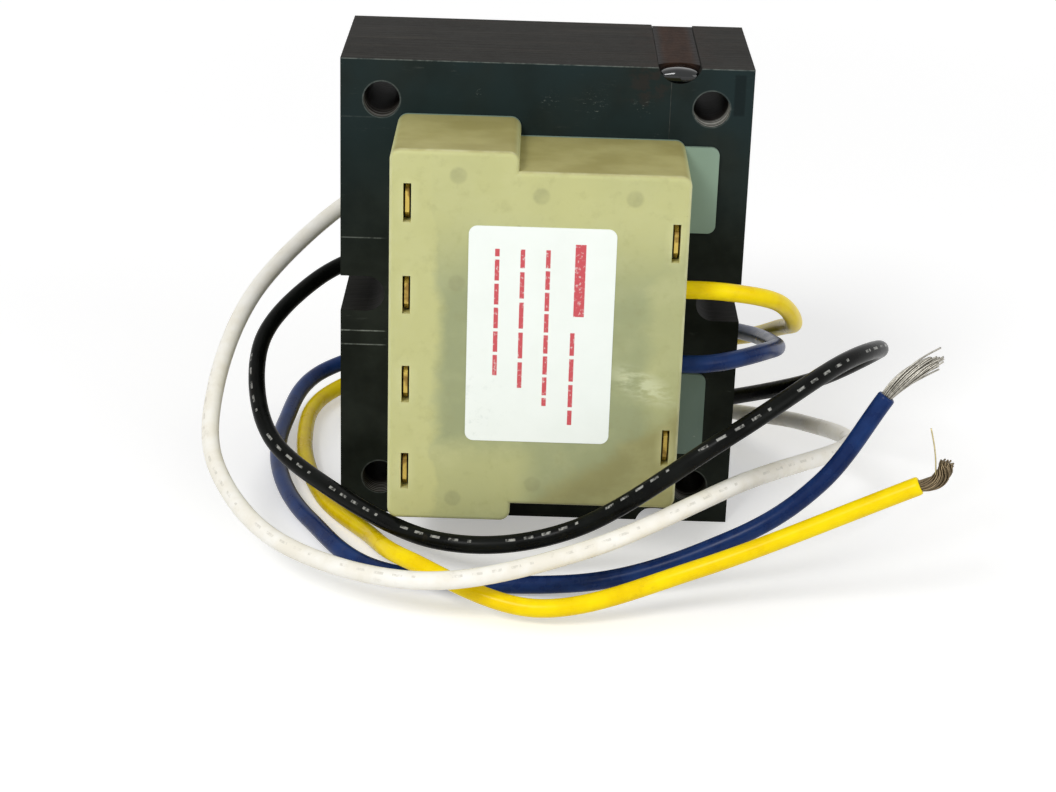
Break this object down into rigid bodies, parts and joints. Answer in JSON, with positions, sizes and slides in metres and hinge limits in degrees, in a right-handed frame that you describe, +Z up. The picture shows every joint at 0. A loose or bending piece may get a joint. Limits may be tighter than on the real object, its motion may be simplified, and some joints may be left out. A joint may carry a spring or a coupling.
{
  "type": "laminated chassis transformer",
  "caption": "Upright welded core of thin steel sheets with a stepped translucent cover on each face, terminal slots, a label and free insulated leads.",
  "frame": {"origin": "bottom centre of the core and covers: on the surface that the lower edge of the stack stands on, at the middle of its width and of its thickness", "axes": "+X along the centre leg, towards the I bar; +Y through the stack from the labelled front cover to the rear cover; +Z up"},
  "size_m": [0.1144, 0.1043, 0.0762],
  "materials": {
    "core_steel": "dark varnished silicon steel sheet, satin",
    "weld_metal": "oxidised weld bead under varnish",
    "cover_nylon": "natural nylon, pale yellow-green and a little translucent",
    "bobbin_nylon": "natural nylon, off-white",
    "barrier_film": "translucent grey-green insulating film",
    "winding_wire": "enamelled copper wire, varnished",
    "winding_tape": "yellow polyester tape",
    "terminal_brass": "plain brass, dull",
    "solder": "tinned and soldered wire",
    "fuse_can": "plain metal can, satin",
    "label_film": null,
    "lead_yellow": "smooth PVC insulation",
    "lead_blue": "smooth PVC insulation",
    "lead_black": "smooth PVC insulation",
    "lead_white": "smooth PVC insulation",
    "tinned_strands": "bare tinned copper strands"
  },
  "bodies": {
    "root": {"e_laminations": "core_steel", "i_laminations": "core_steel", "top_weld": "weld_metal", "bottom_weld": "weld_metal", "bobbin": "bobbin_nylon", "primary_winding": "winding_wire", "secondary_winding": "winding_wire", "primary_tape": "winding_tape", "secondary_tape": "winding_tape", "secondary_fuse": "fuse_can", "yellow_joint": "solder", "blue_joint": "solder", "black_joint": "solder", "white_joint": "solder", "front_barrier": "barrier_film", "rear_barrier": "barrier_film", "front_cover": "cover_nylon", "rear_cover": "cover_nylon", "label": "label_film", "yellow_lead": "lead_yellow", "blue_lead": "lead_blue", "black_lead": "lead_black", "white_lead": "lead_white", "yellow_strands": "tinned_strands", "blue_strands": "tinned_strands", "black_strands": "tinned_strands", "white_strands": "tinned_strands", "front_terminal_1": "terminal_brass", "front_terminal_2": "terminal_brass", "front_terminal_3": "terminal_brass", "front_terminal_4": "terminal_brass", "front_terminal_5": "terminal_brass", "front_terminal_6": "terminal_brass", "rear_terminal_1": "terminal_brass", "rear_terminal_2": "terminal_brass", "rear_terminal_3": "terminal_brass", "rear_terminal_4": "terminal_brass", "rear_terminal_5": "terminal_brass", "rear_terminal_6": "terminal_brass"}
  },
  "joints": []
}
